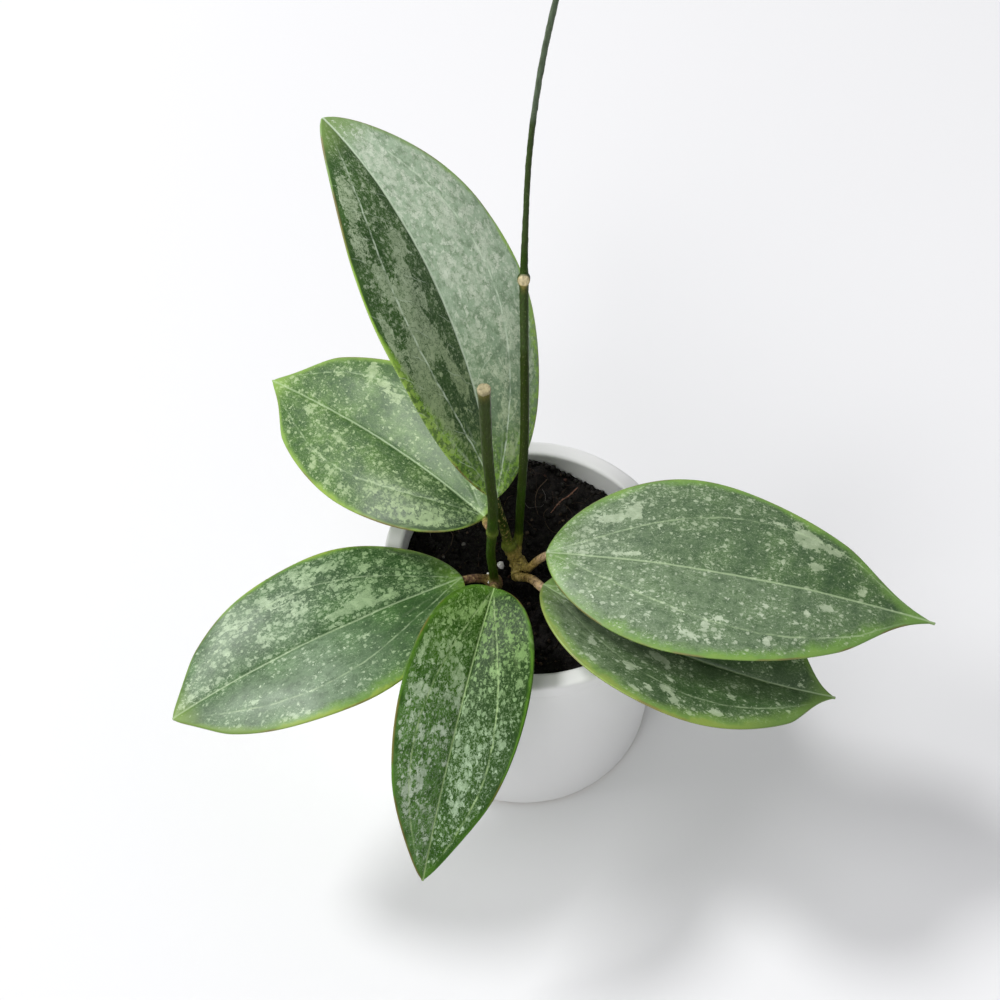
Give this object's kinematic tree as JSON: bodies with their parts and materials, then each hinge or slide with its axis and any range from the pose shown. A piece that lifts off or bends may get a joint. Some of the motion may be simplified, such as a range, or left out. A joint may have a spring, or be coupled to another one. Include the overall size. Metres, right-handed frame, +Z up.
{
  "type": "potted hoya wibergiae plant",
  "caption": "Young potted climbing houseplant with broad speckled leaves on two rooted vine cuttings, one tall and one cut short, in a small round glazed pot.",
  "frame": {"origin": "centre of the pot's flat foot, on the surface that it stands on", "axes": "+Z up along the pot's axis, -Y towards the front of the picture, +X to its right"},
  "size_m": [0.2201, 0.164, 0.2841],
  "materials": {
    "pot_glaze": "smooth white gloss glaze",
    "soil": "rough dark peat and coir mix",
    "stem": "satin green to brown bark",
    "leaf": "waxy satin green with silver splash"
  },
  "bodies": {
    "root": {"pot": "pot_glaze", "soil": "soil", "stem_right": "stem", "stem_left": "stem", "leaf_back": "leaf", "leaf_left_back": "leaf", "leaf_left_front": "leaf", "leaf_front": "leaf", "leaf_right_upper": "leaf", "leaf_right_lower": "leaf"}
  },
  "joints": []
}
